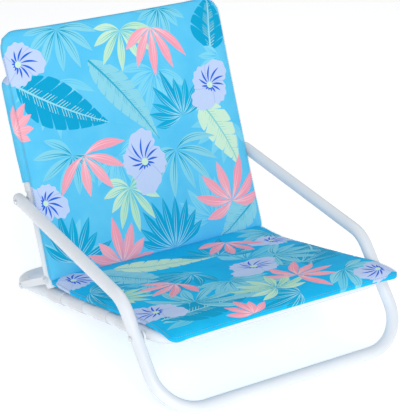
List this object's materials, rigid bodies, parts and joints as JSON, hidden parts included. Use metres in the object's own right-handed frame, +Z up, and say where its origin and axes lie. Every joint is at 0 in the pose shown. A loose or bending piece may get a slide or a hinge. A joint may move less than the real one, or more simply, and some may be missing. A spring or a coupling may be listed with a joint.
{
  "type": "folding low beach chair",
  "caption": "Low folding beach chair with a painted tube frame, one-piece arms and front legs, swinging rear links and padded printed fabric seat and backrest.",
  "frame": {"origin": "on the ground, under the middle of the chair's overall box with the chair open", "axes": "+Z up, the sitter faces -Y, +X is on the right of someone looking at the chair from the front"},
  "size_m": [0.5142, 0.6128, 0.5035],
  "materials": {
    "painted_tube": "white powder coat, satin",
    "painted_link": "white powder coat, satin",
    "rivet_steel": "zinc-plated, slightly dull",
    "nylon": "moulded, matt",
    "webbing": "woven polyester webbing, white",
    "printed_canvas": "printed polyester canvas, tropical leaf and flower pattern on sky blue",
    "foam": "soft foam sheet inside the covers"
  },
  "bodies": {
    "seat": {"seat_front_bow": "painted_tube", "seat_rear_bow": "painted_tube", "leg_pivot_rivets": "rivet_steel", "leg_pivot_washers": "nylon", "link_pivot_rivets": "rivet_steel", "link_pivot_washers": "nylon", "seat_strap_1": "webbing", "seat_strap_2": "webbing", "seat_strap_3": "webbing", "seat_strap_4": "webbing", "seat_foam": "foam", "seat_cover_top": "printed_canvas", "seat_cover_base": "printed_canvas"},
    "leg_arm": {"leg_arm_frame": "painted_tube", "arm_end_caps": "painted_tube", "arm_pivot_rivets": "rivet_steel"},
    "links": {"link_left": "painted_link", "link_right": "painted_link"},
    "backrest": {"back_frame": "painted_tube", "back_frame_plugs": "nylon", "back_pivot_rivets": "rivet_steel", "back_pivot_washers": "nylon", "arm_pivot_rivet_tails": "rivet_steel", "arm_pivot_washers": "nylon", "back_strap_1": "webbing", "back_strap_2": "webbing", "back_strap_3": "webbing", "back_foam": "foam", "back_cover_front": "printed_canvas", "back_cover_rear": "printed_canvas", "hood_rear_panel": "printed_canvas", "hood_boxing": "printed_canvas"}
  },
  "joints": [
    {"name": "link_swing", "type": "hinge", "parent": "seat", "child": "links", "pos_m": [0, 0.246, 0.02145], "axis": [1, 0, 0], "range_deg": [-139, 0]},
    {"name": "backrest_fold", "type": "hinge", "parent": "links", "child": "backrest", "pos_m": [0, 0.14575, 0.0724], "axis": [1, 0, 0], "range_deg": [0, 235.53]},
    {"name": "leg_arm_fold", "type": "hinge", "parent": "seat", "child": "leg_arm", "pos_m": [0, -0.20476, 0.11674], "axis": [1, 0, 0], "range_deg": [-16.71, 0]}
  ],
  "couplings": [
    {"joint": "backrest_fold", "follows": "link_swing", "ratio": -1.6944},
    {"joint": "leg_arm_fold", "follows": "link_swing", "ratio": 0.12014}
  ]
}
